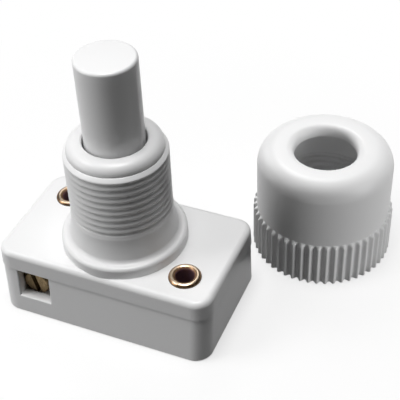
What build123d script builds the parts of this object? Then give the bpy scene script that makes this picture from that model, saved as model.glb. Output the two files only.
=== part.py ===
# Push switch for a lamp: a threaded neck with a long round button, on a small two-part
# housing held together by two hollow rivets, with the knurled cap nut that fixes it.
# Millimetres and degrees. The origin is the centre of the underside, below the neck.
# X runs along the housing and Z up the neck. The wiring side at -X faces -Y.

import os

from build123d import *

os.makedirs("parts", exist_ok=True)

# Housing
housing_wall = 1.05
tray_floor = 1.8
tray_flare = 0.55         # the tray's long sides lean out by this much at the underside
tray_taper = 0.2          # and its ends lean in by this much
cover_overhang = 0.1      # the cover stands proud of the tray's rim
cover_band = 2.7          # height of the cover above the parting line
cover_roof = 1.8
cover_draft = 0.12
corner_radius = 2.3
top_edge_radius = 0.8
base_edge_radius = 0.25
lip_depth = 0.7           # the cover's lip sits inside the tray's rim
lip_thickness = 0.42
lip_clearance = 0.08
rotor_room = 1.9          # between the rotor and the long walls

# Wiring window, one at the front left and one at the back right
window_width = 4.5
window_height = 4.35
window_sill = 2.75
window_edge_radius = 0.2
window_shift = 0.55       # the window's middle stands this much nearer the neck than its screw

# Neck
neck_radius = 6.5
thread_pitch = 0.96
thread_depth = 0.35
thread_crest = 0.4        # width of the neck's ridge at its crest
thread_root = 0.2         # width of the neck's groove at its root
thread_play = 0.06
thread_turned = 96.0      # the groove starts at this angle
neck_height = 15.9        # above the housing's top face
neck_end_wall = 3.3       # closes the bore above the button's collar
neck_plain = 3.8          # stretch between the boss and the thread
shank_length = 0.8        # its upper part, a plain round shank
shank_step = 0.2          # the shank stands proud of the thread's crest by this much
neck_flare = 0.5          # the lower part widens by this much down to the boss
flare_bow = 0.56          # share of the flare that is reached halfway down
foot_radius = 0.35        # where the flare meets the boss
neck_land = 0.1           # plain ring at each end of the thread
dome_flat = 0.75          # flat ring round the hole, then a quarter round
dome_wall = 0.15          # upright wall from the quarter round down to the crease
dome_step = 0.45
hole_lip_radius = 0.3
boss_margin = 1.65
boss_height = 1.6
boss_edge_radius = 0.5

# Button
button_radius = 3.75
button_gap = 0.25         # visible gap around the button in the neck's hole
button_out = 11.37        # how far it stands out of the neck
button_edge_radius = 0.85
button_crown = 0.25
button_core_radius = 2.0
button_end_wall = 4.0
collar_step = 0.75
collar_height = 1.8
collar_taper = 0.2
core_tip = 0.8
slide_clearance = 0.08
key_width = 1.6
key_height = 0.5
travel = 4.0
skirt_room = 0.25         # left between the pressed skirt and the ratchet teeth

# Rotor
rotor_radius = 5.6
rotor_flat = 5.3
rotor_height = 4.15
rotor_rim = 1.3
rotor_hub_radius = 2.6
rotor_seat_radius = 2.6
rotor_seat_height = 0.6
running_gap = 0.06
teeth = 4
tooth_angle = 26.0
drive_angle = 84.0        # turn given by one press, the contact blades settle the rest
crown_base = 0.2
crown_radius = 4.3
crown_bore = 2.8
tooth_gap = 0.08
pin_radius = 1.0
pin_nose = 0.7
pin_chamfer = 0.2
pin_rise = 1.6
pin_socket_floor = 0.6

# Return spring
spring_wire = 0.45
spring_radius = 2.1
spring_turns = 11
spring_room = 0.25
spring_pocket = 1.6       # the spring runs on this far above the collar

# Contacts
sheet = 0.6
contact_gap = 0.06
bridge_width = 3.2
bridge_drop = 1.3
bridge_level = 1.5        # height of the bridge's underside above the rotor's underside
bridge_bend = 0.36
bridge_pin_gap = 0.18
blade_height = 2.4
blade_reach = 2.6
blade_lead = 1.1
blade_bend = 0.9
plate_top_gap = 0.2
plate_end_gap = 0.45
plate_past = 0.4          # the plate reaches this far past its tapped collar
tapped_collar_radius = 2.0
tapped_collar_depth = 0.8
slot_clearance = 0.05
rib_width = 1.1
rib_drop = 0.5            # the ribs stop this far below the plate's top

# Terminal screws
screw_radius = 1.3
screw_length = 4.2
screw_head_radius = 1.8
screw_head_height = 1.4
screw_head_edge = 0.25
screw_end_chamfer = 0.3
screw_slot_width = 0.75
screw_slot_depth = 0.7
screw_slot_turn = 13.5
screw_set_back = 0.15     # the head's face stands this far inside the wall
screw_offset = 3.84       # from the contact blade to the screw's axis
screw_height = 4.2
end_room = 3.8            # from the screw's axis to the end wall

# Hollow rivets
eyelet_bore_radius = 1.2
eyelet_sheet = 0.32
eyelet_roll = 0.29
eyelet_flange = 0.75
eyelet_sink = 0.5
eyelet_end_inset = 4.665
eyelet_side_inset = 4.2
eyelet_clearance = 0.05
pillar_radius = 2.6

# Cap nut
nut_wall = 2.6
nut_roof = 1.4
nut_top_room = 0.5
nut_hole_clearance = 0.45
nut_shoulder_radius = 2.6
nut_hole_lip = 1.1
nut_relief_depth = 4.2    # clears the neck's flared foot
nut_relief_clearance = 0.2
nut_thread_clearance = 0.1
nut_thread_length = 3.9
nut_bore_clearance = 0.2  # round the neck's crest, above the nut's thread
knurl_teeth = 52
knurl_half_width = 0.42   # of a ridge at its base
knurl_half_tip = 0.17     # where its flanks meet the rounded tip
knurl_tip_rise = 0.12
knurl_rise = 0.48
knurl_height = 6.7
knurl_bevel = 0.45
knurl_foot_bevel = 0.12
nut_stand_off = 0.55
nut_end_shift = 6.05

# Plan of the housing, worked out from what it holds
blade_x = rotor_radius + contact_gap + sheet / 2
screw_x = blade_x + sheet / 2 + screw_offset
half_length = screw_x + end_room + housing_wall
half_width = rotor_radius + rotor_room + housing_wall
body_length = 2 * half_length
body_width = 2 * half_width
rim_length = body_length - 2 * cover_overhang
rim_width = body_width - 2 * cover_overhang
inner_length = body_length - 2 * housing_wall
inner_width = body_width - 2 * housing_wall
inner_radius = corner_radius - housing_wall
window_x = screw_x - window_shift
eyelet_x = half_length - eyelet_end_inset
eyelet_y = half_width - eyelet_side_inset
eyelet_spots = [(eyelet_x, -eyelet_y), (-eyelet_x, eyelet_y)]
eyelet_tube_radius = eyelet_bore_radius + eyelet_sheet

# Levels
parting_height = window_sill + window_height
body_height = parting_height + cover_band
roof_underside = body_height - cover_roof
boss_top = body_height + boss_height
neck_top = body_height + neck_height
thread_start = boss_top + neck_plain
shank_top = thread_start - shank_step
shank_bottom = shank_top - shank_length
thread_core = neck_radius - thread_depth
cut_past = 0.4            # cutters reach this far past the face that they open
joint_overlap = 0.1       # joined solids reach this far into one another
match = 0.01              # edges are picked by their size to within this
boss_radius = neck_radius + boss_margin
boss_foot = roof_underside + cover_roof / 2
shank_radius = neck_radius + shank_step
foot = shank_radius + neck_flare
hole_radius = button_radius + button_gap
dome_edge = neck_radius - dome_step
dome_radius = dome_edge - hole_radius - dome_flat
crease_height = neck_top - dome_radius - dome_wall
rim_height = crease_height - dome_step
thread_end = rim_height - neck_land
shoulder = neck_top - neck_end_wall
button_collar_radius = button_radius + collar_step
bore_radius = button_collar_radius + slide_clearance
button_top = neck_top + button_out
rotor_seat = tray_floor + rotor_seat_height
rotor_bottom = rotor_seat + running_gap
rotor_top = rotor_bottom + rotor_height
lead = travel * 360 / drive_angle
ramp_height = lead / teeth
ramp_start = rotor_top + crown_base
ramp_top = ramp_start + ramp_height
ratchet_slack = 360 / teeth - drive_angle
skirt_bottom = ramp_top + travel + skirt_room
spring_top = shoulder + spring_pocket
spring_bore = spring_radius + spring_wire / 2 + spring_room
pin_top = ramp_top + pin_rise

# Contact and terminal places on the wiring side at -X
head_face = half_width - housing_wall - screw_set_back
plate_front = head_face - screw_head_height
plate_y = plate_front - sheet / 2
plate_back = plate_front - sheet
plate_outer = half_length - housing_wall - plate_end_gap
plate_top = parting_height - plate_top_gap


def ratchet_wedge(lower, upper, turn, start):
    """Piece that climbs with the ratchet's lead, wider than the ring of teeth on both sides."""
    inner = crown_bore - cut_past
    outer = crown_radius + cut_past
    middle = (inner + outer) / 2
    with BuildPart() as wedge:
        with BuildLine():
            path = Helix(pitch=lead, height=lead * turn / 360, radius=middle)
        with BuildSketch(Plane.XZ):
            with Locations((middle, (lower + upper) / 2)):
                Rectangle(outer - inner, upper - lower)
        sweep(path=path, is_frenet=True)
    return wedge.part.rotate(Axis.Z, start)


def ring_edges(block, radius, height):
    """The round edges of a block with this radius at this height."""
    return block.edges().filter_by(GeomType.CIRCLE).filter_by(
        lambda edge: abs(edge.radius - radius) < match and abs(edge.center().Z - height) < match
    )


def window_edges(tray, side):
    """Outer edges of a wiring window: its two jambs and its sill."""
    reach = window_width / 2 + match
    edges = tray.edges().filter_by(
        lambda edge: side * edge.center().Y > half_width - cover_overhang - match
        and abs(edge.center().X - side * window_x) < reach
    )
    return edges.filter_by(lambda edge: edge.center().Z > window_sill - match)


def thread_groove(crest, root, root_width, start, end):
    """Helical groove from its root to past the crest, half as far as where its turns would meet."""
    flank = (thread_pitch - thread_crest - thread_root) / 2 / thread_depth
    ridge = thread_pitch - root_width - 2 * flank * abs(crest - root)
    past = crest + ridge / 4 / flank * (1 if crest > root else -1)
    half_root = root_width / 2
    half_mouth = half_root + flank * abs(past - root)
    with BuildPart() as groove:
        with BuildLine():
            path = Helix(pitch=thread_pitch, height=end - start, radius=crest, center=(0, 0, start))
        with BuildSketch(Plane.XZ):
            Polygon(
                (root, start - half_root),
                (root, start + half_root),
                (past, start + half_mouth),
                (past, start - half_mouth),
                align=None,
            )
        sweep(path=path, is_frenet=True)
    return groove.part


# Base tray
rabbet = lip_thickness + lip_clearance
with BuildPart() as base_tray:
    with BuildSketch(Plane.XY):
        RectangleRounded(
            body_length - 2 * tray_taper,
            body_width + 2 * tray_flare,
            corner_radius,
        )
    with BuildSketch(Plane.XY.offset(parting_height)):
        RectangleRounded(rim_length, rim_width, corner_radius - cover_overhang)
    loft()
    fillet(base_tray.faces().sort_by(Axis.Z)[0].edges(), base_edge_radius)

    # Hollow and the step that takes the cover's lip
    with BuildSketch(Plane.XY.offset(tray_floor)):
        RectangleRounded(inner_length, inner_width, inner_radius)
    extrude(amount=parting_height, mode=Mode.SUBTRACT)
    with BuildSketch(Plane.XY.offset(parting_height - lip_depth - lip_clearance)):
        RectangleRounded(inner_length + 2 * rabbet, inner_width + 2 * rabbet, inner_radius + rabbet)
    extrude(amount=parting_height, mode=Mode.SUBTRACT)

    # Pillars round the hollow rivets, grown into the corners
    with BuildSketch(Plane.XY.offset(tray_floor)):
        for x, y in eyelet_spots:
            with Locations((x, y)):
                Circle(pillar_radius)
            with Locations((x + x / abs(x) * inner_length / 2, y + y / abs(y) * inner_width / 2)):
                Rectangle(inner_length, inner_width)
        RectangleRounded(inner_length, inner_width, inner_radius, mode=Mode.INTERSECT)
    extrude(amount=parting_height - tray_floor)

    # Raised seat under the rotor
    with BuildSketch(Plane.XY.offset(tray_floor)):
        Circle(rotor_seat_radius)
    extrude(amount=rotor_seat_height)

    # Ribs that hold each terminal plate between them
    rib_top = plate_top - rib_drop
    with BuildSketch(Plane.XY.offset(tray_floor)):
        for side in (-1, 1):
            wall_rib = (inner_length / 2 - rib_width / 2) * side
            front_y = side * (plate_front + slot_clearance + inner_width / 2) / 2
            front_depth = inner_width / 2 - plate_front - slot_clearance
            back_y = side * (plate_back - slot_clearance - rib_width / 2)
            jamb_rib = side * (window_x - window_width / 2 - rib_width / 2)
            inner_rib = side * (screw_x - tapped_collar_radius - slot_clearance - rib_width / 2)
            with Locations((wall_rib, front_y), (jamb_rib, front_y)):
                Rectangle(rib_width, front_depth)
            with Locations((wall_rib, back_y), (inner_rib, back_y)):
                Rectangle(rib_width, rib_width)
        RectangleRounded(inner_length, inner_width, inner_radius, mode=Mode.INTERSECT)
    extrude(amount=rib_top - tray_floor)

    # Wiring windows, open at the rim
    for side in (-1, 1):
        with Locations((side * window_x, side * half_width, window_sill)):
            Box(
                window_width,
                2 * (housing_wall + tray_flare),
                window_height + cut_past,
                align=(Align.CENTER, Align.CENTER, Align.MIN),
                mode=Mode.SUBTRACT,
            )
        fillet(window_edges(base_tray, side), window_edge_radius)

    # Bores for the hollow rivets, and the blind socket of the axle pin
    with Locations(*[(x, y, 0) for x, y in eyelet_spots]):
        Cylinder(eyelet_tube_radius + eyelet_clearance, 3 * parting_height, mode=Mode.SUBTRACT)
        Cylinder(
            eyelet_tube_radius + eyelet_flange + eyelet_clearance,
            2 * eyelet_sink,
            mode=Mode.SUBTRACT,
        )
    with Locations(*[(x, y, eyelet_sink) for x, y in eyelet_spots]):
        Cone(
            eyelet_tube_radius + eyelet_sheet,
            eyelet_tube_radius,
            eyelet_sheet,
            align=(Align.CENTER, Align.CENTER, Align.MIN),
            mode=Mode.SUBTRACT,
        )
    with Locations((0, 0, pin_socket_floor)):
        Cylinder(
            pin_radius,
            rotor_seat,
            align=(Align.CENTER, Align.CENTER, Align.MIN),
            mode=Mode.SUBTRACT,
        )
base_tray.part.label = "base_tray"

# Thread groove of the neck, cut off square at both ends
with BuildPart() as neck_groove:
    add(
        thread_groove(
            neck_radius,
            thread_core,
            thread_root,
            thread_start - thread_pitch,
            thread_end + thread_pitch,
        ),
        rotation=(0, 0, thread_turned),
    )
    with BuildSketch(Plane.XY.offset(thread_start + neck_land)):
        Circle(neck_radius + 2 * cut_past)
    extrude(amount=thread_end - thread_start - neck_land, mode=Mode.INTERSECT)

# Top cover with its boss and threaded neck
with BuildPart() as top_cover:
    with BuildSketch(Plane.XY.offset(parting_height)):
        RectangleRounded(body_length, body_width, corner_radius)
    with BuildSketch(Plane.XY.offset(body_height)):
        RectangleRounded(
            body_length - 2 * cover_draft,
            body_width - 2 * cover_draft,
            corner_radius - cover_draft,
        )
    loft()
    fillet(top_cover.faces().sort_by(Axis.Z)[-1].edges(), top_edge_radius)

    # Boss and neck turned about the same axis
    with BuildSketch(Plane.XZ):
        with BuildLine():
            Polyline(
                (0, boss_foot),
                (boss_radius, boss_foot),
                (boss_radius, boss_top),
                (foot, boss_top),
            )
            ThreePointArc(
                (foot, boss_top),
                (shank_radius + flare_bow * neck_flare, (boss_top + shank_bottom) / 2),
                (shank_radius, shank_bottom),
            )
            Polyline(
                (shank_radius, shank_bottom),
                (shank_radius, shank_top),
                (neck_radius, thread_start),
                (neck_radius, rim_height),
                (dome_edge, crease_height),
                (dome_edge, crease_height + dome_wall),
            )
            CenterArc((dome_edge - dome_radius, crease_height + dome_wall), dome_radius, 0, 90)
            Polyline(
                (dome_edge - dome_radius, neck_top),
                (0, neck_top),
                (0, boss_foot),
            )
        make_face()
    revolve(axis=Axis.Z)
    fillet(ring_edges(top_cover, boss_radius, boss_top), boss_edge_radius)
    fillet(ring_edges(top_cover, foot, boss_top), foot_radius)
    add(neck_groove.part, mode=Mode.SUBTRACT)

    # Hollow under the roof, with pads over the rivets and the terminals
    with BuildSketch(Plane.XY.offset(parting_height)):
        RectangleRounded(inner_length, inner_width, inner_radius)
        with Locations(*eyelet_spots):
            Circle(pillar_radius, mode=Mode.SUBTRACT)
    extrude(amount=roof_underside - parting_height, mode=Mode.SUBTRACT)
    for side in (-1, 1):
        with Locations((side * screw_x, side * plate_y, plate_top)):
            Box(
                2 * rib_width,
                2 * rib_width,
                roof_underside + joint_overlap - plate_top,
                align=(Align.CENTER, Align.CENTER, Align.MIN),
            )

    # Lip inside the tray's rim, left out at the windows and the rivet pillars
    with BuildSketch(Plane.XY.offset(parting_height - lip_depth)):
        RectangleRounded(
            inner_length + 2 * lip_thickness,
            inner_width + 2 * lip_thickness,
            inner_radius + lip_thickness,
        )
        RectangleRounded(inner_length, inner_width, inner_radius, mode=Mode.SUBTRACT)
        for side in (-1, 1):
            with Locations((side * window_x, side * half_width)):
                Rectangle(window_width + 2 * lip_thickness, 3 * housing_wall, mode=Mode.SUBTRACT)
    extrude(amount=lip_depth + joint_overlap)

    # Bore, keyways and the hole that the button stands out of
    with BuildSketch(Plane.XY.offset(roof_underside)):
        Circle(bore_radius)
        with PolarLocations(bore_radius, 2, start_angle=90):
            Rectangle(
                2 * (key_height + slide_clearance),
                key_width + 2 * slide_clearance,
            )
    extrude(amount=shoulder - roof_underside, mode=Mode.SUBTRACT)
    with BuildSketch(Plane.XY.offset(roof_underside)):
        Circle(hole_radius)
    extrude(amount=2 * neck_height, mode=Mode.SUBTRACT)
    fillet(ring_edges(top_cover, hole_radius, neck_top), hole_lip_radius)
    with Locations(*[(x, y, body_height) for x, y in eyelet_spots]):
        Cylinder(eyelet_tube_radius + eyelet_clearance, 3 * cover_band, mode=Mode.SUBTRACT)
top_cover.part.label = "top_cover"

# Teeth under the button's skirt
with BuildPart() as drive_teeth:
    tooth_start = 360 / teeth - ratchet_slack / 2
    for index in range(teeth):
        add(
            ratchet_wedge(
                ramp_start + lead * tooth_start / 360 + tooth_gap,
                skirt_bottom + crown_base,
                tooth_angle,
                tooth_start + index * 360 / teeth,
            )
        )
    with BuildSketch(Plane.XY.offset(ramp_start)):
        Circle(crown_radius)
        Circle(crown_bore, mode=Mode.SUBTRACT)
    extrude(amount=skirt_bottom + crown_base - ramp_start, mode=Mode.INTERSECT)

# Button, with the collar that keeps it in and the skirt that drives the rotor
with BuildPart() as push_button:
    with BuildSketch(Plane.XZ):
        with BuildLine():
            shoulder_z = button_top - button_crown - button_edge_radius
            edge_x = button_radius - button_edge_radius
            Polyline(
                (0, spring_top + button_end_wall),
                (0, button_top),
            )
            ThreePointArc(
                (0, button_top),
                (edge_x / 2, button_top - button_crown / 4),
                (edge_x, button_top - button_crown),
            )
            CenterArc((edge_x, shoulder_z), button_edge_radius, 0, 90)
            Polyline(
                (button_radius, shoulder_z),
                (button_radius, shoulder),
                (button_collar_radius, shoulder),
                (button_collar_radius, shoulder - collar_height),
                (crown_radius, shoulder - collar_height - collar_taper),
                (crown_radius, skirt_bottom),
                (spring_bore, skirt_bottom),
                (spring_bore, spring_top),
                (button_core_radius, spring_top),
                (button_core_radius, spring_top + button_end_wall - core_tip),
                (0, spring_top + button_end_wall),
            )
        make_face()
    revolve(axis=Axis.Z)
    with Locations(Location((0, 0, shoulder - collar_height))):
        Box(
            key_width,
            2 * (button_collar_radius + key_height),
            collar_height,
            align=(Align.CENTER, Align.CENTER, Align.MIN),
        )
        Cylinder(
            spring_bore,
            collar_height,
            align=(Align.CENTER, Align.CENTER, Align.MIN),
            mode=Mode.SUBTRACT,
        )
    add(drive_teeth.part)
push_button.part.label = "push_button"

# Rotor: a drum with four flats and four ratchet ramps on top
with BuildPart() as ratchet_rotor:
    with BuildSketch(Plane.XY.offset(rotor_bottom)):
        Circle(rotor_radius)
        Rectangle(2 * rotor_flat, 2 * rotor_flat, mode=Mode.INTERSECT)
    extrude(amount=rotor_height)
    with BuildSketch(Plane.XY.offset(rotor_top)):
        Circle(crown_radius)
        Circle(crown_bore, mode=Mode.SUBTRACT)
    extrude(amount=ramp_top - rotor_top)
    for index in range(teeth):
        add(
            ratchet_wedge(ramp_start, ramp_top + cut_past, 360 / teeth, index * 360 / teeth),
            mode=Mode.SUBTRACT,
        )
    with BuildSketch(Plane.XY.offset(rotor_bottom)):
        Circle(rotor_flat - rotor_rim)
        Circle(rotor_hub_radius, mode=Mode.SUBTRACT)
    extrude(amount=bridge_level, mode=Mode.SUBTRACT)
    with Locations((0, 0, rotor_bottom)):
        Box(
            2 * rotor_radius,
            bridge_width,
            bridge_level + sheet,
            align=(Align.CENTER, Align.CENTER, Align.MIN),
            mode=Mode.SUBTRACT,
        )
        Cylinder(
            pin_radius + running_gap,
            3 * rotor_height,
            mode=Mode.SUBTRACT,
        )
ratchet_rotor.part.label = "ratchet_rotor"

# Contact bridge: a strip under the rotor with both ends folded down to the flats
with BuildPart() as contact_bridge:
    with BuildSketch(Plane.XZ):
        with BuildLine():
            strip_z = rotor_bottom + bridge_level + sheet / 2
            end_x = rotor_radius - sheet / 2
            FilletPolyline(
                (-end_x, strip_z - bridge_drop),
                (-end_x, strip_z),
                (end_x, strip_z),
                (end_x, strip_z - bridge_drop),
                radius=bridge_bend,
            )
        trace(line_width=sheet)
    extrude(amount=bridge_width / 2, both=True)
    with Locations((0, 0, strip_z)):
        Cylinder(pin_radius + bridge_pin_gap, 2 * sheet, mode=Mode.SUBTRACT)
        Cylinder(rotor_radius, 4 * bridge_drop, mode=Mode.INTERSECT)
contact_bridge.part.label = "contact_bridge"

# Axle pin, pressed into the tray and rounded at its free end
with BuildPart() as axle_pin:
    with Locations((0, 0, pin_socket_floor)):
        Cylinder(
            pin_radius,
            pin_top - pin_socket_floor,
            align=(Align.CENTER, Align.CENTER, Align.MIN),
        )
    fillet(axle_pin.faces().sort_by(Axis.Z)[-1].edges(), pin_nose)
    chamfer(axle_pin.faces().sort_by(Axis.Z)[0].edges(), pin_chamfer)
axle_pin.part.label = "axle_pin"

# Return spring between the rotor and the button
with BuildPart() as return_spring:
    with BuildLine():
        spring_low = rotor_top + spring_wire / 2
        spring_height = spring_top - rotor_top - spring_wire
        coil = Helix(
            pitch=spring_height / spring_turns,
            height=spring_height,
            radius=spring_radius,
            center=(0, 0, spring_low),
        )
    with BuildSketch(Plane(origin=coil @ 0, z_dir=coil % 0)):
        Circle(spring_wire / 2)
    sweep(path=coil, is_frenet=True)
return_spring.part.label = "return_spring"

# Terminal on the wiring side: a folded strip whose blade bears on the rotor
with BuildPart() as terminal_left:
    with BuildSketch(Plane.XY.offset(screw_height - blade_height / 2)):
        with BuildLine():
            FilletPolyline(
                (-plate_outer, -plate_y),
                (-blade_x, -plate_y),
                (-blade_x, blade_reach),
                (-blade_x - blade_lead / 2, blade_reach + blade_lead),
                radius=blade_bend,
            )
        trace(line_width=sheet)
    extrude(amount=blade_height)
    with BuildSketch(Plane.XZ.offset(plate_back)):
        with BuildLine():
            inner_edge = -screw_x + tapped_collar_radius + plate_past
            Polyline(
                (-plate_outer, tray_floor),
                (inner_edge, tray_floor),
                (inner_edge, plate_top),
                (-plate_outer, plate_top),
                close=True,
            )
        make_face()
    extrude(amount=sheet)
    with BuildSketch(Plane.XZ.offset(plate_back)):
        with Locations((-screw_x, screw_height)):
            Circle(tapped_collar_radius)
    extrude(amount=-tapped_collar_depth)
    with BuildSketch(Plane.XZ.offset(plate_front)):
        with Locations((-screw_x, screw_height)):
            Circle(screw_radius)
    extrude(amount=-(sheet + tapped_collar_depth), mode=Mode.SUBTRACT)
terminal_left.part.label = "terminal_left"

# Slotted screw in that terminal, its head just inside the window
with BuildPart() as terminal_screw_left:
    with BuildSketch(Plane.XZ.offset(plate_front)):
        with Locations((-screw_x, screw_height)):
            Circle(screw_head_radius)
    extrude(amount=screw_head_height)
    fillet(terminal_screw_left.faces().sort_by(Axis.Y)[0].edges(), screw_head_edge)
    with BuildSketch(Plane.XZ.offset(plate_front)):
        with Locations((-screw_x, screw_height)):
            Circle(screw_radius)
    extrude(amount=-screw_length)
    chamfer(terminal_screw_left.faces().sort_by(Axis.Y)[-1].edges(), screw_end_chamfer)
    with BuildSketch(Plane.XZ.offset(head_face)):
        with Locations(Location((-screw_x, screw_height), screw_slot_turn)):
            Rectangle(screw_slot_width, 3 * screw_head_radius)
    extrude(amount=-screw_slot_depth, mode=Mode.SUBTRACT)
terminal_screw_left.part.label = "terminal_screw_left"

# The back right side is the same, turned half round
with BuildPart() as terminal_right:
    add(terminal_left.part, rotation=(0, 0, 180))
terminal_right.part.label = "terminal_right"

with BuildPart() as terminal_screw_right:
    add(terminal_screw_left.part, rotation=(0, 0, 180))
terminal_screw_right.part.label = "terminal_screw_right"


# Hollow rivet: a tube of thin sheet, flanged below and rolled over above
def hollow_rivet(x, y):
    tube = eyelet_bore_radius + eyelet_sheet / 2
    head = eyelet_sink - eyelet_sheet / 2
    with BuildPart() as rivet:
        with BuildSketch(Plane.XZ):
            with BuildLine():
                FilletPolyline(
                    (tube + eyelet_flange, head),
                    (tube, head),
                    (tube, body_height),
                    radius=eyelet_sheet,
                )
                ThreePointArc(
                    (tube, body_height),
                    (tube + eyelet_roll, body_height + eyelet_roll),
                    (tube + 2 * eyelet_roll, body_height),
                )
            trace(line_width=eyelet_sheet)
        revolve(axis=Axis.Z)
    return rivet.part.translate((x, y, 0))


with BuildPart() as eyelet_front:
    add(hollow_rivet(*eyelet_spots[0]))
eyelet_front.part.label = "eyelet_front"

with BuildPart() as eyelet_back:
    add(hollow_rivet(*eyelet_spots[1]))
eyelet_back.part.label = "eyelet_back"

# Cap nut, standing beside the switch on its open end
nut_radius = neck_radius + nut_wall
nut_height = neck_top - boss_top + nut_top_room + nut_roof
nut_bore = thread_core + nut_thread_clearance
nut_groove = neck_radius + nut_thread_clearance
nut_smooth = neck_radius + nut_bore_clearance
nut_hole = button_radius + nut_hole_clearance
nut_relief = foot + foot_radius + nut_relief_clearance
nut_outer = nut_radius + knurl_rise
nut_inside = nut_height - nut_roof
nut_thread_start = nut_relief_depth + nut_relief - nut_bore
nut_thread_end = nut_thread_start + nut_thread_length
nut_x = half_length + nut_end_shift
nut_y = half_width + nut_outer + nut_stand_off
knurl_base = nut_radius - joint_overlap
with BuildPart() as nut_upright:
    with BuildSketch(Plane.XY):
        Circle(nut_radius)
    extrude(amount=nut_height)
    fillet(nut_upright.faces().sort_by(Axis.Z)[-1].edges(), nut_shoulder_radius)
    with BuildSketch(Plane.XY):
        with BuildSketch(mode=Mode.PRIVATE) as ridge:
            with BuildLine():
                Polyline(
                    (nut_outer - knurl_tip_rise, -knurl_half_tip),
                    (nut_radius, -knurl_half_width),
                    (knurl_base, -knurl_half_width),
                    (knurl_base, knurl_half_width),
                    (nut_radius, knurl_half_width),
                    (nut_outer - knurl_tip_rise, knurl_half_tip),
                )
                ThreePointArc(
                    (nut_outer - knurl_tip_rise, knurl_half_tip),
                    (nut_outer, 0),
                    (nut_outer - knurl_tip_rise, -knurl_half_tip),
                )
            make_face()
        Circle(nut_radius)
        with PolarLocations(0, knurl_teeth):
            add(ridge.sketch)
    extrude(amount=knurl_height)
    with BuildSketch(Plane.XZ):
        Polygon(
            (0, 0),
            (nut_outer - knurl_foot_bevel, 0),
            (nut_outer, knurl_foot_bevel),
            (nut_outer, knurl_height - knurl_bevel),
            (nut_radius, knurl_height),
            (nut_radius, nut_height),
            (0, nut_height),
            align=None,
        )
    revolve(axis=Axis.Z, mode=Mode.INTERSECT)
    with BuildSketch(Plane.XZ):
        Polygon(
            (0, -cut_past),
            (nut_relief, -cut_past),
            (nut_relief, nut_relief_depth),
            (nut_bore, nut_thread_start),
            (nut_bore, nut_thread_end),
            (nut_smooth, nut_thread_end + nut_smooth - nut_bore),
            (nut_smooth, nut_inside),
            (0, nut_inside),
            align=None,
        )
    revolve(axis=Axis.Z, mode=Mode.SUBTRACT)
    with Locations((0, 0, nut_inside)):
        Cylinder(nut_hole, 4 * nut_roof, mode=Mode.SUBTRACT)
    fillet(ring_edges(nut_upright, nut_hole, nut_height), nut_hole_lip)
    add(
        thread_groove(
            nut_bore,
            nut_groove,
            thread_crest + thread_play,
            nut_thread_start - thread_pitch,
            nut_thread_end + thread_pitch,
        ),
        mode=Mode.SUBTRACT,
    )

with BuildPart() as fixing_nut:
    add(nut_upright.part.translate((nut_x, nut_y, 0)))
fixing_nut.part.label = "fixing_nut"

pieces = (
    base_tray,
    top_cover,
    push_button,
    return_spring,
    ratchet_rotor,
    contact_bridge,
    axle_pin,
    terminal_left,
    terminal_right,
    terminal_screw_left,
    terminal_screw_right,
    eyelet_front,
    eyelet_back,
    fixing_nut,
)
for piece in pieces:
    export_step(piece.part, f"parts/{piece.part.label}.step")
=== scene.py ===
# White push switch for a lamp: riveted housing, threaded neck, long round button and loose cap nut.
# Metres. The pieces and their places come from model.glb.

import math

import bpy
import bmesh
from mathutils import Matrix, Vector


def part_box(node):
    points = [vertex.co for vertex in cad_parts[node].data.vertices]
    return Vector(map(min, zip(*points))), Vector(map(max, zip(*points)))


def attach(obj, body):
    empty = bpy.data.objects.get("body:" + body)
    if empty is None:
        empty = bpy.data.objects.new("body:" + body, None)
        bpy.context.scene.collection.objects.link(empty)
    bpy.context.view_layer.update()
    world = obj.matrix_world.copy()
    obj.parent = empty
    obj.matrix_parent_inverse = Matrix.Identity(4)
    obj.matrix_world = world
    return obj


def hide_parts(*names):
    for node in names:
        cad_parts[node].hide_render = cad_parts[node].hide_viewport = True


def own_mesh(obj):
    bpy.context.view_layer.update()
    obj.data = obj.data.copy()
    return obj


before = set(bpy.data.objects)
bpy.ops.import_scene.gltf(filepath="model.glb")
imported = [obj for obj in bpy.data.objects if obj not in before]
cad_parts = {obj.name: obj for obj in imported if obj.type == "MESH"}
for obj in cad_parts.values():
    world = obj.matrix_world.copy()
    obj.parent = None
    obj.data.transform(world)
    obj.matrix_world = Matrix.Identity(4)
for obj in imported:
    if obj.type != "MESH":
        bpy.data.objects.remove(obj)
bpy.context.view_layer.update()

MM = 0.001

# Camera, from the photograph's perspective
CAMERA_AZIMUTH = math.radians(24.524)
CAMERA_ELEVATION = math.radians(40.811)
CAMERA_ROLL = math.radians(-2.734)
CAMERA_DISTANCE = 125.675 * MM
CAMERA_RIGHT = 9.867 * MM
CAMERA_UP = 2.365 * MM
CAMERA_AIM_HEIGHT = 12 * MM
CAMERA_LENS = 87.918
CAMERA_SENSOR = 36

# Thread: one pitch for both, full depth in the nut, soft and shallow on the neck
THREAD_PITCH = 0.96 * MM
NUT_THREAD_DEPTH = 0.35 * MM
NUT_THREAD_ROWS = 44
NUT_GROOVE = (0.15, 0.52)         # shares of half a pitch, from the root's flat to the crest's
NECK_THREAD_DEPTH = 0.13 * MM
NECK_THREAD_PHASE = 0.4333        # share of a turn
NECK_THREAD_ROWS = 300
NECK_STEEP_END = 0.3              # the short steep slope under a turn, as a share of the pitch
NECK_GENTLE_START = 0.34          # the long soft one starts here

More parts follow.
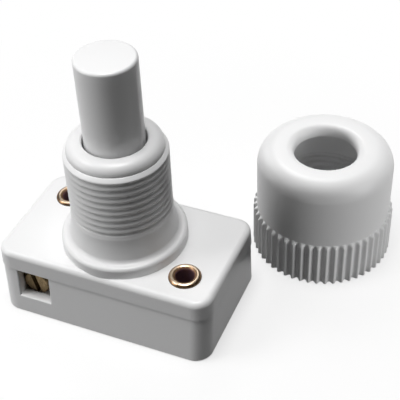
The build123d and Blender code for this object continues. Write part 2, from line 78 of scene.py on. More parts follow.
# Neck: a sleeve with the thread round a plain core. Radii, then levels from the boss to the crease
NECK_SKIN = 5.6 * MM              # what the cover has outside this radius goes for the sleeve
NECK_CORE = 5.9 * MM
NECK_CREST = 6.5 * MM
NECK_CREASE_RADIUS = 6.05 * MM
NECK_SHANK = 6.59 * MM
NECK_FOOT_OUTER = 7.65 * MM
NECK_FOOT_ROUND = 0.7 * MM
NECK_FLARE_BOW = 1.5
NECK_FOOT = 11.4 * MM
NECK_FOOT_SUNK = 0.02 * MM
NECK_SHANK_LEVEL = 14.7 * MM
NECK_THREAD_START = 15.3 * MM
NECK_THREAD_END = 23.65 * MM
NECK_THREAD_FADE = 0.15 * MM
NECK_RIM = 23.8 * MM
NECK_CREASE = 24.25 * MM
NECK_CUT_FOOT = NECK_FOOT + 0.05 * MM
NECK_CUT_TOP = NECK_CREASE + 0.01 * MM
NECK_SEGMENTS = 216

# Button cap
BUTTON_TRAVEL = 4 * MM
CAP_CUT = 35.8 * MM
CAP_RADIUS = 3.75 * MM
CAP_TOP = 37.06 * MM
CAP_EDGE = 0.38 * MM
CAP_CROWN = 0.04 * MM
CAP_RINGS = 8

# Small edges, and copies of solids
EDGE_BEVEL = 0.12 * MM
MERGE_WITHIN = 0.001 * MM
OWN_NORMAL = "own_normal"
SHARP_ANGLE = math.radians(38)

# Moulded plastic and plain metal
CLOUD_SIZE = 6 * MM
GLOSS_PATCH = 1.5 * MM
GRAIN_SIZE = 0.12 * MM
GRAIN_DEPTH = 0.001 * MM
GRAIN_STRENGTH = 0.6
TARNISH_REACH = (-0.6, 1.6)       # past 0 and 1, so that part of the metal is all bright or all dull
TARNISH_DULLS = 0.2
SCRATCH_DEPTH = 0.01 * MM
SCRATCH_STRENGTH = 0.5

# Hollow rivets, from the bore to the outer rim
RIVET_BORE = 1.15 * MM
RIVET_RIM = 2.1 * MM
RIVET_WANDER = 0.1 * MM           # how far the rings of colour stray from a true circle
RIVET_WANDER_SIZE = 0.5 * MM
RIVET_POLISH = (0.2, 0.42)
RIVET_SMEAR = 0.2 * MM
RIVET_PITS = 0.1 * MM
RIVET_SHADE_TO_BARE = (0.12, 0.3)          # between these shares the painted shade in the bore gives way to bare metal
# Colours from the bore out: painted shade in the bore, copper paled into a painted highlight on the crown,
# then oxide brown with painted shade where the roll turns under at the rim
RIVET_COPPER_AND_PAINTED_LIGHT = (
    (0.0, (0.16, 0.09, 0.13)),
    (0.12, (0.2, 0.1, 0.08)),
    (0.24, (0.5, 0.3, 0.15)),
    (0.42, (0.92, 0.68, 0.48)),
    (0.66, (0.95, 0.8, 0.62)),
    (0.84, (0.62, 0.36, 0.2)),
    (0.94, (0.16, 0.1, 0.055)),
    (1.0, (0.09, 0.065, 0.04)),
)

# Cap nut
NUT_WALL = 9.1 * MM
NUT_SHOULDER = 2.6 * MM
NUT_ROOF = 1.4 * MM
NUT_HOLE = 4.2 * MM
NUT_HOLE_LIP = 1.1 * MM
NUT_BORE = 6.25 * MM
NUT_SMOOTH = 6.7 * MM
NUT_RELIEF = 7.75 * MM
NUT_RELIEF_DEPTH = 4.2 * MM
NUT_THREAD_LENGTH = 3.9 * MM
NUT_THREAD_FOOT = NUT_RELIEF_DEPTH + NUT_RELIEF - NUT_BORE
NUT_THREAD_TOP = NUT_THREAD_FOOT + NUT_THREAD_LENGTH
NUT_SMOOTH_FOOT = NUT_THREAD_TOP + NUT_SMOOTH - NUT_BORE
KNURL_RIDGES = 52
KNURL_STEPS = 12                  # segments to a ridge
KNURL_RISE = 0.48 * MM
KNURL_RIDGE = (0.1, 0.95)         # shares of half a ridge, from the groove's flat to the tip's
KNURL_TOP = 6.7 * MM
KNURL_FADE = 0.5 * MM

# Stage
FLOOR_HALF = 0.9
FLOOR_DROP = 0.02 * MM
POOL_INNER = 22 * MM              # the shadow's pool, then plain white
POOL_OUTER = 70 * MM
BOUNCE_NEAR = (0.06, 0.06, 0.06)
BOUNCE_FAR = (0.02, 0.02, 0.02)
SHADE_WHITE = (0.38, 0.38, 0.38)
GLOW_WHITE = (0.61, 0.61, 0.61)
WORLD_GREY = (0.005, 0.005, 0.005)

# Lamps: name, turn from the camera, elevation, distance, width, height, level on a facing white,
# and what they light: the switch and the floor, or the loose nut alone
LAMPS = (
    ("top", 0, 88, 0.42, 0.16, 0.16, 0.74, "switch"),
    ("left_high", -88, 50, 0.42, 0.16, 0.16, 0.29, "switch"),
    ("left_low", -80, 8, 0.40, 0.18, 0.20, 0.31, "switch"),
    ("back", 180, 50, 0.42, 0.16, 0.16, 0.10, "switch"),
    ("nut_top", 0, 88, 0.42, 0.16, 0.16, 0.18, "nut"),
    ("nut_back", 180, 56, 0.42, 0.16, 0.16, 0.62, "nut"),
    ("nut_left", -140, 28, 0.40, 0.18, 0.25, 0.42, "nut"),
    ("nut_right", 58, 20, 0.40, 0.18, 0.25, 0.46, "nut"),
)


def camera_axes():
    """Right, up and backward directions of the camera, and its place."""
    back = Vector((
        math.sin(CAMERA_AZIMUTH) * math.cos(CAMERA_ELEVATION),
        -math.cos(CAMERA_AZIMUTH) * math.cos(CAMERA_ELEVATION),
        math.sin(CAMERA_ELEVATION),
    ))
    level = Vector((0, 0, 1)).cross(back).normalized()
    steep = back.cross(level)
    right = level * math.cos(CAMERA_ROLL) + steep * math.sin(CAMERA_ROLL)
    up = steep * math.cos(CAMERA_ROLL) - level * math.sin(CAMERA_ROLL)
    place = back * CAMERA_DISTANCE + level * CAMERA_RIGHT + steep * CAMERA_UP
    place.z += CAMERA_AIM_HEIGHT
    return right, up, back, place


def place_camera():
    """The photograph's own view."""
    right, up, back, place = camera_axes()
    data = bpy.data.cameras.new("camera")
    data.sensor_width = CAMERA_SENSOR
    data.lens = CAMERA_LENS
    data.clip_start = 5 * MM
    camera = bpy.data.objects.new("camera", data)
    turn = Matrix((right, up, back)).transposed().to_4x4()
    camera.matrix_world = Matrix.Translation(place) @ turn
    bpy.context.scene.collection.objects.link(camera)
    bpy.context.scene.camera = camera


# Node helpers
def new_material(name):
    """A material with an empty node tree and its output."""
    material = bpy.data.materials.new(name)
    material.use_nodes = True
    material.node_tree.nodes.clear()
    output = material.node_tree.nodes.new("ShaderNodeOutputMaterial")
    return material, material.node_tree, output


def add_node(tree, kind, settings=None, inputs=None):
    """A node with its settings made and its sockets set to values or linked to other sockets."""
    node = tree.nodes.new(kind)
    for key, value in (settings or {}).items():
        setattr(node, key, value)
    for key, value in (inputs or {}).items():
        if isinstance(value, bpy.types.NodeSocket):
            tree.links.new(value, node.inputs[key])
        else:
            node.inputs[key].default_value = value
    return node


def calculate(tree, operation, *values):
    """A math node's result."""
    inputs = dict(enumerate(values))
    return add_node(tree, "ShaderNodeMath", {"operation": operation}, inputs).outputs[0]


def measure(tree, operation, *vectors):
    """A vector math node's result: a number for a length, else a vector."""
    inputs = dict(enumerate(vectors))
    node = add_node(tree, "ShaderNodeVectorMath", {"operation": operation}, inputs)
    return node.outputs["Value" if operation == "LENGTH" else "Vector"]


def spread(tree, value, low, high):
    """A value from 0 to 1 moved to a range."""
    inputs = {"Value": value, "To Min": low, "To Max": high}
    return add_node(tree, "ShaderNodeMapRange", {}, inputs).outputs["Result"]


def ramp(tree, value, start, end, first=0, last=1, kind="SMOOTHSTEP"):
    """Change from one value to another between two places, soft unless its kind says otherwise."""
    inputs = {"Value": value, "From Min": start, "From Max": end, "To Min": first, "To Max": last}
    return add_node(tree, "ShaderNodeMapRange", {"interpolation_type": kind}, inputs).outputs["Result"]


def bumps(tree, height, distance, strength):
    """A normal that follows a height."""
    inputs = {"Height": height, "Distance": distance, "Strength": strength}
    return add_node(tree, "ShaderNodeBump", {}, inputs).outputs[0]


def blend_colours(tree, share, first, second):
    """A colour between two, which are plain colours or sockets."""
    settings = {"data_type": "RGBA"}
    node = add_node(tree, "ShaderNodeMix", settings, {"Factor": share})
    for index, colour in ((6, first), (7, second)):
        if isinstance(colour, bpy.types.NodeSocket):
            tree.links.new(colour, node.inputs[index])
        else:
            node.inputs[index].default_value = (*colour, 1)
    return node.outputs[2]


def noise(tree, size, detail=3, stretch=(1, 1, 1), rough=0.5):
    """Noise on object coordinates, with features of about this size."""
    place = add_node(tree, "ShaderNodeTexCoord").outputs["Object"]
    scaled = add_node(tree, "ShaderNodeMapping", {}, {"Vector": place, "Scale": stretch})
    inputs = {"Vector": scaled.outputs[0], "Scale": 1 / size, "Detail": detail, "Roughness": rough}
    return add_node(tree, "ShaderNodeTexNoise", {}, inputs).outputs["Fac"]


# Finishes
def moulded_plastic(name, colour, tint, gloss, uneven=0.05):
    """Glossy moulded plastic with faint flow clouds, a fine grain and uneven gloss."""
    material, tree, output = new_material(name)
    clouds = noise(tree, CLOUD_SIZE, detail=2)
    specks = noise(tree, GRAIN_SIZE, detail=4)
    patches = noise(tree, GLOSS_PATCH, detail=5)
    shader = add_node(tree, "ShaderNodeBsdfPrincipled", {}, {
        "Base Color": blend_colours(tree, clouds, colour, tint),
        "Roughness": spread(tree, patches, gloss - uneven, gloss + uneven),
        "Normal": bumps(tree, specks, GRAIN_DEPTH, GRAIN_STRENGTH),
        "IOR": 1.5,
    })
    tree.links.new(shader.outputs[0], output.inputs[0])
    return material


def worn_metal(name, bright, dull, polish, grain, stretch):
    """Metal whose colour and polish go from bright to tarnished in patches."""
    material, tree, output = new_material(name)
    patches = noise(tree, grain, detail=5, stretch=stretch, rough=0.6)
    scratches = noise(tree, grain / 5, detail=3, stretch=stretch)
    reach = spread(tree, patches, *TARNISH_REACH)
    tarnish = add_node(tree, "ShaderNodeClamp", {}, {"Value": reach}).outputs[0]
    shader = add_node(tree, "ShaderNodeBsdfPrincipled", {}, {
        "Base Color": blend_colours(tree, tarnish, bright, dull),
        "Metallic": 1.0,
        "Roughness": spread(tree, tarnish, polish, polish + TARNISH_DULLS),
        "Normal": bumps(tree, scratches, SCRATCH_DEPTH, SCRATCH_STRENGTH),
    })
    tree.links.new(shader.outputs[0], output.inputs[0])
    return material


def rivet_metal(name, node):
    """Rolled copper by its distance from the rivet's axis, with painted light: painted shade in the bore, a
    painted highlight paling the crown, and oxide brown darkened with painted shade at the rim.
    """
    material, tree, output = new_material(name)
    low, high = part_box(node)
    middle = ((low.x + high.x) / 2, (low.y + high.y) / 2, 0)
    place = add_node(tree, "ShaderNodeTexCoord").outputs["Object"]
    flat = measure(tree, "MULTIPLY", measure(tree, "SUBTRACT", place, middle), (1, 1, 0))
    wander = spread(tree, noise(tree, RIVET_WANDER_SIZE), -RIVET_WANDER, RIVET_WANDER)
    away = calculate(tree, "ADD", measure(tree, "LENGTH", flat), wander)
    across = ramp(tree, away, RIVET_BORE, RIVET_RIM, kind="LINEAR")
    colours = add_node(tree, "ShaderNodeValToRGB", {}, {"Fac": across})
    steps = colours.color_ramp.elements
    for share, colour in RIVET_COPPER_AND_PAINTED_LIGHT[1:-1]:
        steps.new(share)
    for step, (share, colour) in zip(steps, RIVET_COPPER_AND_PAINTED_LIGHT):
        step.position = share
        step.color = (*colour, 1)
    shader = add_node(tree, "ShaderNodeBsdfPrincipled", {}, {
        "Base Color": colours.outputs["Color"],
        "Metallic": ramp(tree, across, *RIVET_SHADE_TO_BARE, kind="LINEAR"),
        "Roughness": spread(tree, noise(tree, RIVET_SMEAR, detail=4), *RIVET_POLISH),
        "Normal": bumps(tree, noise(tree, RIVET_PITS), SCRATCH_DEPTH, SCRATCH_STRENGTH),
    })
    tree.links.new(shader.outputs[0], output.inputs[0])
    return material


# Shape helpers
def arc(middle, radius, start, end, steps):
    """Points on an arc in the half plane of radius and height, angles in degrees."""
    turns = [math.radians(start + (end - start) * step / steps) for step in range(steps + 1)]
    across, up = middle
    return [(across + radius * math.cos(turn), up + radius * math.sin(turn)) for turn in turns]


def shares(steps):
    """Equal steps from just past 0 to 1."""
    return [step / steps for step in range(1, steps + 1)]


def run(start, end, steps):
    """Points on a straight line without its first."""
    return [tuple(a + (b - a) * share for a, b in zip(start, end)) for share in shares(steps)]


def lathe(name, profile, segments, rules):
    """Closed ring from a closed profile; each rule gives an attribute's value at a profile point."""
    mesh = bpy.data.meshes.new(name)
    count = len(profile)
    vertices = []
    for segment in range(segments):
        turn = 2 * math.pi * segment / segments
        for radius, height in profile:
            vertices.append((radius * math.cos(turn), radius * math.sin(turn), height))
    faces = []
    for segment in range(segments):
        here, after = segment * count, (segment + 1) % segments * count
        for point in range(count):
            above = (point + 1) % count
            faces.append((here + point, after + point, after + above, here + above))
    mesh.from_pydata(vertices, [], faces)
    for attribute, rule in rules.items():
        values = [rule(*point) for point in profile] * segments
        mesh.attributes.new(attribute, "FLOAT", "POINT").data.foreach_set("value", values)
    return mesh


def shape_tree(name, sizes):
    """Geometry Nodes tree with a mesh in and out, a place, a finish and a named input for each size."""
    tree = bpy.data.node_groups.new(name, "GeometryNodeTree")
    tree.interface.new_socket("Mesh", in_out="INPUT", socket_type="NodeSocketGeometry")
    for size in sizes:
        tree.interface.new_socket(size, in_out="INPUT", socket_type="NodeSocketFloat")
    tree.interface.new_socket("Place", in_out="INPUT", socket_type="NodeSocketVector")
    tree.interface.new_socket("Finish", in_out="INPUT", socket_type="NodeSocketMaterial")
    tree.interface.new_socket("Mesh", in_out="OUTPUT", socket_type="NodeSocketGeometry")
    return tree, tree.nodes.new("NodeGroupInput").outputs


def close_tree(tree, given, shape):
    """Moves the shape to its place, realizes it, gives it its finish and sends it out."""
    placed = add_node(tree, "GeometryNodeTransform", {}, {
        "Geometry": shape, "Translation": given["Place"]})
    real = add_node(tree, "GeometryNodeRealizeInstances", {}, {"Geometry": placed.outputs[0]})
    dressed = add_node(tree, "GeometryNodeSetMaterial", {}, {
        "Geometry": real.outputs[0], "Material": given["Finish"]})
    tree.links.new(dressed.outputs[0], tree.nodes.new("NodeGroupOutput").inputs[0])


def shaped(name, mesh, tree, values):
    """Finished piece: the plain mesh that the tree makes with these inputs."""
    piece = bpy.data.objects.new(name, mesh)
    bpy.context.scene.collection.objects.link(piece)
    modifier = piece.modifiers.new(name, "NODES")
    modifier.node_group = tree
    for item in tree.interface.items_tree:
        if item.in_out == "INPUT" and item.name in values:
            modifier[item.identifier] = values[item.name]
    evaluated = piece.evaluated_get(bpy.context.evaluated_depsgraph_get())
    finished = bpy.data.meshes.new_from_object(evaluated)
    piece.modifiers.remove(modifier)
    piece.data = finished
    finished.shade_smooth()
    finished.set_sharp_from_angle(angle=SHARP_ANGLE)
    return piece


def cut_copy(node, levels, gone):
    """Merged copy of a CAD node, cut at these heights and without the faces that the test names."""
    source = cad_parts[node].data
    mesh = bmesh.new()
    mesh.from_mesh(source)
    own = mesh.loops.layers.float_vector.new(OWN_NORMAL)
    loops = (loop for face in mesh.faces for loop in face.loops)
    for loop, normal in zip(loops, source.corner_normals):
        loop[own] = normal.vector
    bmesh.ops.remove_doubles(mesh, verts=mesh.verts, dist=MERGE_WITHIN)
    for level in levels:
        parts = [*mesh.verts, *mesh.edges, *mesh.faces]
        bmesh.ops.bisect_plane(
            mesh, geom=parts, dist=MERGE_WITHIN / 10, plane_co=(0, 0, level), plane_no=(0, 0, 1))
    faces = [face for face in mesh.faces if gone(face.calc_center_median())]
    bmesh.ops.delete(mesh, geom=faces, context="FACES")
    return mesh


def open_rim(mesh, level):
    """Vertices of the open edge at a height, in order round the Z axis."""
    rim = {vertex for edge in mesh.edges if edge.is_boundary for vertex in edge.verts
           if abs(vertex.co.z - level) < MERGE_WITHIN}
    return sorted(rim, key=lambda vertex: math.atan2(vertex.co.y, vertex.co.x))


def add_ring(mesh, rim, radius, level):
    """Faces from an open edge to a new circle round the Z axis; gives the circle's vertices."""
    ring = []
    for vertex in rim:
        outward = Vector((vertex.co.x, vertex.co.y, 0)).normalized() * radius
        ring.append(mesh.verts.new((outward.x, outward.y, level)))
    for index, vertex in enumerate(rim):
        after = (index + 1) % len(rim)
        mesh.faces.new((vertex, rim[after], ring[after], ring[index]))
    return ring


def ring_edges(mesh, ring):
    """The edges of a closed ring of vertices."""
    return [mesh.edges.get((vertex, ring[index - 1])) for index, vertex in enumerate(ring)]


def finished_copy(name, mesh, finish):
    """Object from an edited copy, with the solid's own normals where it is kept."""
    bmesh.ops.recalc_face_normals(mesh, faces=mesh.faces)
    data = bpy.data.meshes.new(name)
    mesh.to_mesh(data)
    mesh.free()
    data.materials.clear()
    data.materials.append(finish)
    data.shade_smooth()
    data.set_sharp_from_angle(angle=SHARP_ANGLE)
    own = data.attributes[OWN_NORMAL]
    normals = [(kept if kept.vector.length > 0.5 else made).vector.copy()
               for kept, made in zip(own.data, data.corner_normals)]
    data.attributes.remove(own)
    data.normals_split_custom_set(normals)
    piece = bpy.data.objects.new(name, data)
    bpy.context.scene.collection.objects.link(piece)
    return piece


def point_share(tree, name):
    """The share, from 0 to 1, that a point of the mesh carries under this name."""
    settings = {"data_type": "FLOAT"}
    return add_node(tree, "GeometryNodeInputNamedAttribute", settings, {"Name": name}).outputs[0]


def round_the_axis(tree):
    """Angle round the Z axis in turns, the height, and the direction away from the axis."""
    place = tree.nodes.new("GeometryNodeInputPosition").outputs[0]
    parts = add_node(tree, "ShaderNodeSeparateXYZ", {}, {0: place}).outputs
    turns = calculate(tree, "DIVIDE", calculate(tree, "ARCTAN2", parts[1], parts[0]), 2 * math.pi)
    level = add_node(tree, "ShaderNodeCombineXYZ", {}, {0: parts[0], 1: parts[1]}).outputs[0]
    return turns, parts[2], measure(tree, "NORMALIZE", level)


def ridge_wave(tree, phase, foot, crest):
    """From 0 halfway between two whole phases to 1 at each, with soft ends."""
    centred = calculate(tree, "SUBTRACT", calculate(tree, "FRACT", phase), 0.5)
    apart = calculate(tree, "MULTIPLY", calculate(tree, "ABSOLUTE", centred), 2)
    return ramp(tree, apart, foot, crest)


def climb(tree, height, turns, pitch):
    """Turns of a helix below a point: a whole number along the helix itself."""
    return calculate(tree, "SUBTRACT", calculate(tree, "DIVIDE", height, pitch), turns)


def push_outward(tree, mesh, outward, amount):
    """Moves each point of a mesh away from the axis."""
    settings = {"operation": "SCALE"}
    step = add_node(tree, "ShaderNodeVectorMath", settings, {0: outward, "Scale": amount}).outputs[0]
    return add_node(tree, "GeometryNodeSetPosition", {}, {"Geometry": mesh, "Offset": step}).outputs[0]


# Cap nut
def nut_profile(height):
    """Closed outline of the nut's wall, from the open end up the outside and down the bore."""
    shoulder = (NUT_WALL - NUT_SHOULDER, height - NUT_SHOULDER)
    lip = (NUT_HOLE + NUT_HOLE_LIP, height - NUT_HOLE_LIP)
    inside = height - NUT_ROOF
    line = [(NUT_RELIEF, EDGE_BEVEL), (NUT_RELIEF + EDGE_BEVEL, 0)]
    line += [(NUT_WALL - EDGE_BEVEL, 0), (NUT_WALL, EDGE_BEVEL)]
    line += run(line[-1], (NUT_WALL, KNURL_TOP - KNURL_FADE), 4)
    line += run(line[-1], (NUT_WALL, KNURL_TOP), 8)
    line += run(line[-1], (NUT_WALL, KNURL_TOP + EDGE_BEVEL), 1)
    line += run(line[-1], (NUT_WALL, shoulder[1]), 3)
    line += arc(shoulder, NUT_SHOULDER, 0, 90, 16)[1:]
    line += run(line[-1], (lip[0], height), 2)
    line += arc(lip, NUT_HOLE_LIP, 90, 180, 10)[1:]
    line += [(NUT_HOLE, inside), (NUT_SMOOTH, inside)]
    line += run(line[-1], (NUT_SMOOTH, NUT_SMOOTH_FOOT), 3)
    line += run(line[-1], (NUT_BORE, NUT_THREAD_TOP), 6)
    line += run(line[-1], (NUT_BORE, NUT_THREAD_FOOT), NUT_THREAD_ROWS)
    line += run(line[-1], (NUT_RELIEF, NUT_RELIEF_DEPTH), 8)
    return line


def nut_ridge_share(radius, height):
    """Share of a ridge's full rise at a point of the profile."""
    if radius < NUT_WALL - 1.5 * EDGE_BEVEL or height > KNURL_TOP:
        return 0.0
    share = min(1.0, (KNURL_TOP - height) / KNURL_FADE)
    return math.sin(share * math.pi / 2)


def nut_thread_share(radius, height):
    """Share of the thread's full depth, which runs out where the bore widens."""
    if radius > NUT_SMOOTH or not NUT_RELIEF_DEPTH < height < NUT_SMOOTH_FOOT:
        return 0.0
    return max(0.0, 1 - (radius - NUT_BORE) / NUT_THREAD_DEPTH)


def make_nut(finish):
    """Cap nut with rounded ridges round its foot and a thread in its lower bore."""
    low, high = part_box("fixing_nut")
    middle = (low + high) / 2
    mesh = lathe("cap_nut", nut_profile(high.z), KNURL_RIDGES * KNURL_STEPS, {
        "ridge_share": nut_ridge_share, "thread_share": nut_thread_share})
    tree, given = shape_tree("nut_ridges_and_thread", ("Ridges", "Rise", "Pitch", "Depth"))
    turns, height, outward = round_the_axis(tree)
    ridges = ridge_wave(tree, calculate(tree, "MULTIPLY", turns, given["Ridges"]), *KNURL_RIDGE)
    ridges = calculate(tree, "MULTIPLY", ridges, point_share(tree, "ridge_share"))
    grooves = ridge_wave(tree, climb(tree, height, turns, given["Pitch"]), *NUT_GROOVE)
    grooves = calculate(tree, "MULTIPLY", grooves, point_share(tree, "thread_share"))
    rise = calculate(tree, "MULTIPLY", given["Rise"], ridges)
    sink = calculate(tree, "MULTIPLY", given["Depth"], grooves)
    shape = push_outward(tree, given["Mesh"], outward, calculate(tree, "ADD", rise, sink))
    close_tree(tree, given, shape)
    return shaped("cap_nut", mesh, tree, {
        "Ridges": float(KNURL_RIDGES),
        "Rise": KNURL_RISE,
        "Pitch": THREAD_PITCH,
        "Depth": NUT_THREAD_DEPTH,
        "Place": (middle.x, middle.y, 0),
        "Finish": finish,
    })


# Neck and cover
def neck_profile():
    """Closed outline of the neck's sleeve, from its foot up the thread and down inside."""
    middle = (NECK_FOOT_OUTER, NECK_FOOT + NECK_FOOT_ROUND)
    sunk = NECK_FOOT - NECK_FOOT_SUNK
    line = [(NECK_CORE, sunk), (NECK_FOOT_OUTER, sunk)]
    line += arc(middle, NECK_FOOT_ROUND, 270, 180, 10)
    flare_radius, flare_level = line[-1]
    for share in shares(8):
        bow = (1 - share) ** NECK_FLARE_BOW
        radius = NECK_SHANK + (flare_radius - NECK_SHANK) * bow
        line.append((radius, flare_level + (NECK_SHANK_LEVEL - flare_level) * share))
    for share in shares(6):
        ease = share * share * (3 - 2 * share)
        height = NECK_SHANK_LEVEL + (NECK_THREAD_START - NECK_SHANK_LEVEL) * share
        line.append((NECK_SHANK + (NECK_CREST - NECK_SHANK) * ease, height))
    line += run(line[-1], (NECK_CREST, NECK_THREAD_END), NECK_THREAD_ROWS)
    line += run(line[-1], (NECK_CREST, NECK_RIM - EDGE_BEVEL / 2), 2)
    line.append((NECK_CREST - EDGE_BEVEL / 6, NECK_RIM))
    line.append((NECK_CREST - EDGE_BEVEL / 2, NECK_RIM + EDGE_BEVEL / 2))
    line += run(line[-1], (NECK_CREASE_RADIUS, NECK_CREASE), 3)
    line.append((NECK_CORE, NECK_CREASE + EDGE_BEVEL / 4))
    return line


def neck_thread_share(radius, height):
    """Share of the thread's full depth, which fades at both ends."""
    if abs(radius - NECK_CREST) > MERGE_WITHIN:
        return 0.0
    inside = min(height - NECK_THREAD_START, NECK_THREAD_END - height)
    return max(0.0, min(1.0, inside / NECK_THREAD_FADE))


def make_neck(finish):
    """Sleeve with the neck's moulded thread: a soft slope up each turn, a short steep one under it."""
    mesh = lathe("neck_thread", neck_profile(), NECK_SEGMENTS, {"thread_share": neck_thread_share})
    tree, given = shape_tree("moulded_thread", ("Pitch", "Phase", "Depth"))
    turns, height, outward = round_the_axis(tree)
    turned = calculate(tree, "ADD", climb(tree, height, turns, given["Pitch"]), given["Phase"])
    phase = calculate(tree, "FRACT", turned)
    steep = ramp(tree, phase, 0, NECK_STEEP_END, 1, 0)
    gentle = ramp(tree, phase, NECK_GENTLE_START, 1)
    groove = calculate(tree, "ADD", steep, gentle)
    groove = calculate(tree, "MULTIPLY", groove, point_share(tree, "thread_share"))
    depth = calculate(tree, "MULTIPLY", calculate(tree, "MULTIPLY", given["Depth"], groove), -1)
    close_tree(tree, given, push_outward(tree, given["Mesh"], outward, depth))
    return shaped("neck_thread", mesh, tree, {
        "Pitch": THREAD_PITCH,
        "Phase": NECK_THREAD_PHASE,
        "Depth": NECK_THREAD_DEPTH,
        "Place": (0, 0, 0),
        "Finish": finish,
    })


def in_neck_skin(point):
    """Whether the sleeve stands for the cover here."""
    return NECK_CUT_FOOT < point.z < NECK_CUT_TOP and math.hypot(point.x, point.y) > NECK_SKIN


def make_cover(finish):
    """Copy of the cover whose neck is a plain core inside the threaded sleeve."""
    mesh = cut_copy("top_cover", (NECK_CUT_FOOT, NECK_CUT_TOP), in_neck_skin)
    foot = add_ring(mesh, open_rim(mesh, NECK_CUT_FOOT), NECK_CORE, NECK_CUT_FOOT)
    top = add_ring(mesh, open_rim(mesh, NECK_CUT_TOP), NECK_CORE, NECK_CUT_TOP)
    bmesh.ops.bridge_loops(mesh, edges=ring_edges(mesh, foot) + ring_edges(mesh, top))
    return finished_copy("cover", mesh, finish)


def make_button(finish):
    """Copy of the button with a flatter top and a tighter rounded edge."""
    mesh = cut_copy("push_button", (CAP_CUT,), lambda middle: middle.z > CAP_CUT)
    rim = open_rim(mesh, CAP_CUT)
    edge = (CAP_RADIUS - CAP_EDGE, CAP_TOP - CAP_CROWN - CAP_EDGE)
    for radius, height in arc(edge, CAP_EDGE, 0, 90, 10):
        rim = add_ring(mesh, rim, radius, height)
    for step in range(1, CAP_RINGS):
        share = 1 - step / CAP_RINGS
        rim = add_ring(mesh, rim, edge[0] * share, CAP_TOP - CAP_CROWN * share ** 2)
    mesh.faces.new(rim)
    return finished_copy("button", mesh, finish)


def make_spring(finish):
    """Copy of the return spring, with how it shortens as the button goes down."""
    low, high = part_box("return_spring")
    spring = finished_copy("spring", cut_copy("return_spring", (), lambda middle: False), finish)
    keep = 1 - BUTTON_TRAVEL / (high.z - low.z)
    squash = {"joint": "button_slide", "axis": (0, 0, 1), "anchor": (0, 0, low.z), "keep": keep}
    return spring, squash


def dress(node, material):
    """Gives a CAD node its finish."""
    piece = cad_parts[node]
    piece.data.materials.clear()
    piece.data.materials.append(material)


# Stage and light
def full_glow(tree, kind, colour):
    """An emission or a background of strength 1, at which a colour shows as it is."""
    return add_node(tree, kind, {}, {"Color": (*colour, 1), "Strength": 1}).outputs[0]


def floor_finish():
    """Pale floor: white to the eye with the object's soft shadow, greyer as a bounce light."""
    material, tree, output = new_material("pale_floor")
    place = add_node(tree, "ShaderNodeTexCoord").outputs["Object"]
    far = ramp(tree, measure(tree, "LENGTH", place), POOL_INNER, POOL_OUTER)
    bounce = blend_colours(tree, far, BOUNCE_NEAR, BOUNCE_FAR)
    soft = add_node(tree, "ShaderNodeBsdfDiffuse", {}, {"Color": bounce}).outputs[0]
    lit = add_node(tree, "ShaderNodeBsdfDiffuse", {}, {"Color": (*SHADE_WHITE, 1)}).outputs[0]
    glow = full_glow(tree, "ShaderNodeEmission", GLOW_WHITE)
    seen_near = add_node(tree, "ShaderNodeAddShader", {}, {0: lit, 1: glow}).outputs[0]
    white = full_glow(tree, "ShaderNodeEmission", (1, 1, 1))
    seen = add_node(tree, "ShaderNodeMixShader", {}, {0: far, 1: seen_near, 2: white}).outputs[0]
    rays = add_node(tree, "ShaderNodeLightPath")
    eye = calculate(tree, "MAXIMUM", rays.outputs["Is Camera Ray"], rays.outputs["Is Glossy Ray"])
    eye = calculate(tree, "MAXIMUM", eye, rays.outputs["Is Transmission Ray"])
    mixed = add_node(tree, "ShaderNodeMixShader", {}, {0: eye, 1: soft, 2: seen}).outputs[0]
    tree.links.new(mixed, output.inputs[0])
    return material


def make_floor():
    """Square floor just under the object, which stands on it."""
    mesh = bpy.data.meshes.new("floor")
    corners = ((-1, -1), (1, -1), (1, 1), (-1, 1))
    places = [(x * FLOOR_HALF, y * FLOOR_HALF, -FLOOR_DROP) for x, y in corners]
    mesh.from_pydata(places, [], [(0, 1, 2, 3)])
    floor = bpy.data.objects.new("floor", mesh)
    bpy.context.scene.collection.objects.link(floor)
    mesh.materials.append(floor_finish())


def make_world():
    """White to the eye and nearly dark to the object, which its lamps light."""
    world = bpy.data.worlds.new("studio")
    world.use_nodes = True
    tree = world.node_tree
    tree.nodes.clear()
    rays = add_node(tree, "ShaderNodeLightPath")
    eye = calculate(tree, "MAXIMUM", rays.outputs["Is Camera Ray"], rays.outputs["Is Transmission Ray"])
    dim = full_glow(tree, "ShaderNodeBackground", WORLD_GREY)
    white = full_glow(tree, "ShaderNodeBackground", (1, 1, 1))
    mixed = add_node(tree, "ShaderNodeMixShader", {}, {0: eye, 1: dim, 2: white}).outputs[0]
    output = tree.nodes.new("ShaderNodeOutputWorld")
    tree.links.new(mixed, output.inputs[0])
    bpy.context.scene.world = world


def light_only(lamp, lit, nut):
    """Keeps a lamp to the loose nut, or keeps it off the nut."""
    receivers = bpy.data.collections.new(lamp.name + "_lights")
    receivers.objects.link(nut)
    state = "INCLUDE" if lit == "nut" else "EXCLUDE"
    receivers.collection_objects[0].light_linking.link_state = state
    lamp.light_linking.receiver_collection = receivers


def make_lamps(nut):
    """Softboxes; a level of 1 turns a facing white card white."""
    for name, turn, elevation, distance, width, height, level, lit in LAMPS:
        azimuth = CAMERA_AZIMUTH + math.radians(turn)
        rise = math.radians(elevation)
        toward = Vector((
            math.sin(azimuth) * math.cos(rise),
            -math.cos(azimuth) * math.cos(rise),
            math.sin(rise),
        ))
        data = bpy.data.lights.new(name, "AREA")
        data.shape = "RECTANGLE"
        data.size = width
        data.size_y = height
        data.energy = level * math.pi ** 2 * distance ** 2
        lamp = bpy.data.objects.new(name, data)
        lamp.matrix_world = (
            Matrix.Translation(toward * distance + Vector((0, 0, CAMERA_AIM_HEIGHT)))
            @ toward.to_track_quat("Z", "Y").to_matrix().to_4x4()
        )
        bpy.context.scene.collection.objects.link(lamp)
        light_only(lamp, lit, nut)


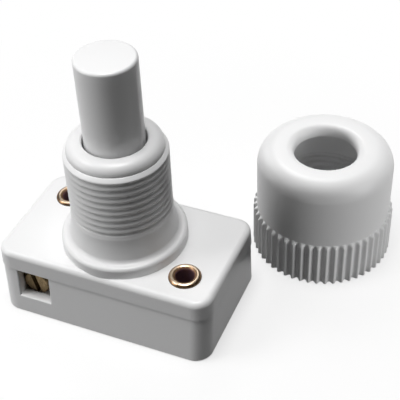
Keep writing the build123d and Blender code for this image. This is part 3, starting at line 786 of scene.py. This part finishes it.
def dress_nodes():
    """Gives every node its finish; gives the finishes that the added pieces share."""
    white = moulded_plastic("white_moulding", (0.86, 0.86, 0.862), (0.875, 0.875, 0.875), gloss=0.34)
    button_white = moulded_plastic("white_button", (0.87, 0.87, 0.872), (0.885, 0.885, 0.885), gloss=0.3)
    nut_white = moulded_plastic(
        "white_nut", (0.86, 0.86, 0.862), (0.87, 0.87, 0.87), gloss=0.42, uneven=0.015)
    dark = moulded_plastic("rotor_moulding", (0.03, 0.03, 0.032), (0.045, 0.045, 0.045), gloss=0.45)
    brass = worn_metal(
        "contact_brass", (0.78, 0.6, 0.3), (0.5, 0.36, 0.16), polish=0.28, grain=0.8 * MM, stretch=(1, 1, 6))
    # The terminal screws' brass, darkened all over as painted shade for their place inside the housing
    screw_brass_painted_shade = worn_metal(
        "screw_brass", (0.34, 0.25, 0.14), (0.15, 0.11, 0.06), polish=0.5, grain=0.5 * MM, stretch=(4, 1, 1))
    steel = worn_metal(
        "steel", (0.62, 0.62, 0.62), (0.42, 0.41, 0.4), polish=0.25, grain=0.4 * MM, stretch=(1, 1, 8))
    finishes = {
        white: ("base_tray", "top_cover"),
        button_white: ("push_button",),
        nut_white: ("fixing_nut",),
        dark: ("ratchet_rotor",),
        rivet_metal("front_rivet", "eyelet_front"): ("eyelet_front",),
        rivet_metal("back_rivet", "eyelet_back"): ("eyelet_back",),
        brass: ("contact_bridge", "terminal_left", "terminal_right"),
        screw_brass_painted_shade: ("terminal_screw_left", "terminal_screw_right"),
        steel: ("axle_pin", "return_spring"),
    }
    for material, nodes in finishes.items():
        for node in nodes:
            dress(node, material)
    return white, button_white, nut_white, steel


def add_pieces(white, button_white, nut_white, steel):
    """Adds the pieces drawn more finely than their nodes, and gives the loose nut."""
    nut = make_nut(nut_white)
    spring, shortening = make_spring(steel)
    added = (
        (nut, "fixing_nut", "housing", "white_nut"),
        (make_cover(white), "top_cover", "housing", "white_moulding"),
        (make_neck(white), None, "housing", "white_moulding"),
        (make_button(button_white), "push_button", "button", "white_button"),
        (spring, "return_spring", "housing", "steel"),
    )
    for piece, node, body, slot in added:
        if node:
            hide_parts(node)
        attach(piece, body)
    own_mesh(spring)
    return nut


place_camera()
make_floor()
make_world()
loose_nut = add_pieces(*dress_nodes())
make_lamps(loose_nut)

bpy.context.scene.view_settings.view_transform = "Standard"
